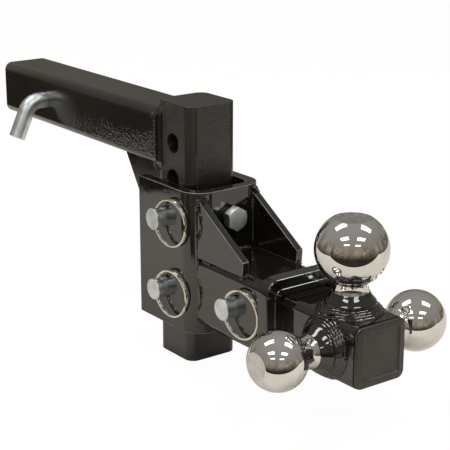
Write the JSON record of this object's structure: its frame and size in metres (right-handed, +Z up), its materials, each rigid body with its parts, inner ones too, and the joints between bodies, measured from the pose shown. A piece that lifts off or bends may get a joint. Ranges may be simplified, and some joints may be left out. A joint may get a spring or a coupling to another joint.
{
  "type": "trailer hitch",
  "caption": "Adjustable drop trailer hitch: square shank and drop post, pinned channel with receiver tube, and a mount with chrome balls on its sides.",
  "frame": {"origin": "on the shank's axis, at the centre of the hitch-pin hole", "axes": "+X from the vehicle towards the balls, +Y to the side away from the pins' heads, +Z up; -X is the way the shank slides into the vehicle's receiver"},
  "size_m": [0.5468, 0.186, 0.231],
  "materials": {
    "textured_black": "satin, pebbled powder coat",
    "gloss_black": "gloss paint",
    "ball_chrome": "mirror chrome",
    "zinc": "zinc plated",
    "nickel": "nickel plated wire",
    "spring_steel": "bright spring steel",
    "black_plastic": "satin moulded plastic"
  },
  "bodies": {
    "hitch": {"drop_post": "textured_black", "shank": "textured_black", "tail_gusset": "textured_black", "shank_weld": "textured_black", "height_channel": "gloss_black", "receiver_tube": "gloss_black", "receiver_collar": "gloss_black", "side_gusset_near": "gloss_black", "side_gusset_far": "gloss_black", "ball_mount_tube": "gloss_black", "end_plug": "black_plastic", "ball_weld_top": "gloss_black", "ball_weld_near": "gloss_black", "ball_weld_far": "gloss_black", "hitch_ball_top": "ball_chrome", "hitch_ball_near": "ball_chrome", "hitch_ball_far": "ball_chrome"},
    "set_bolt": {"set_bolt": "zinc"},
    "hitch_pin": {"hitch_pin": "zinc"},
    "hitch_pin_clip": {"hitch_pin_clip": "zinc"},
    "ring_pin_upper": {"ring_pin_upper": "zinc", "detent_spring_upper": "spring_steel"},
    "pull_ring_upper": {"pull_ring_upper": "nickel"},
    "detent_ball_upper": {"detent_ball_upper": "spring_steel"},
    "ring_pin_lower": {"ring_pin_lower": "zinc", "detent_spring_lower": "spring_steel"},
    "pull_ring_lower": {"pull_ring_lower": "nickel"},
    "detent_ball_lower": {"detent_ball_lower": "spring_steel"},
    "ring_pin_receiver": {"ring_pin_receiver": "zinc", "detent_spring_receiver": "spring_steel"},
    "pull_ring_receiver": {"pull_ring_receiver": "nickel"},
    "detent_ball_receiver": {"detent_ball_receiver": "spring_steel"}
  },
  "joints": [
    {"name": "set_bolt_turn", "type": "hinge", "parent": "hitch", "child": "set_bolt", "pos_m": [0.27303, 0, -0.0589], "axis": [1, 0, 0], "continuous": true},
    {"name": "hitch_pin_turn", "type": "hinge", "parent": "hitch", "child": "hitch_pin", "pos_m": [0, 0, 0], "axis": [0, 1, 0], "continuous": true},
    {"name": "clip_pull", "type": "slide", "parent": "hitch_pin", "child": "hitch_pin_clip", "axis": [1, 0, 0], "range_m": [0, 0.028]},
    {"name": "pin_upper_pull", "type": "slide", "parent": "hitch", "child": "ring_pin_upper", "axis": [0, -1, 0], "range_m": [0, 0.0942]},
    {"name": "ring_upper_swing", "type": "hinge", "parent": "ring_pin_upper", "child": "pull_ring_upper", "pos_m": [0.224, -0.0439, -0.0648], "axis": [0, 0, -1], "range_deg": [0, 168]},
    {"name": "detent_upper_press", "type": "slide", "parent": "ring_pin_upper", "child": "detent_ball_upper", "axis": [0, 0, -1], "range_m": [0, 0.0006], "stiffness_N_per_m": 2000, "springref_m": -0.0005, "deforming": ["detent_spring_upper"]},
    {"name": "pin_lower_pull", "type": "slide", "parent": "hitch", "child": "ring_pin_lower", "axis": [0, -1, 0], "range_m": [0, 0.0942]},
    {"name": "ring_lower_swing", "type": "hinge", "parent": "ring_pin_lower", "child": "pull_ring_lower", "pos_m": [0.224, -0.0439, -0.1292], "axis": [0, 0, -1], "range_deg": [0, 168]},
    {"name": "detent_lower_press", "type": "slide", "parent": "ring_pin_lower", "child": "detent_ball_lower", "axis": [0, 0, -1], "range_m": [0, 0.0006], "stiffness_N_per_m": 2000, "springref_m": -0.0005, "deforming": ["detent_spring_lower"]},
    {"name": "pin_receiver_pull", "type": "slide", "parent": "hitch", "child": "ring_pin_receiver", "axis": [0, -1, 0], "range_m": [0, 0.0815]},
    {"name": "ring_receiver_swing", "type": "hinge", "parent": "ring_pin_receiver", "child": "pull_ring_receiver", "pos_m": [0.31643, -0.03755, -0.12205], "axis": [0, 0, -1], "range_deg": [0, 168]},
    {"name": "detent_receiver_press", "type": "slide", "parent": "ring_pin_receiver", "child": "detent_ball_receiver", "axis": [0, 0, -1], "range_m": [0, 0.0006], "stiffness_N_per_m": 2000, "springref_m": -0.0005, "deforming": ["detent_spring_receiver"]}
  ]
}
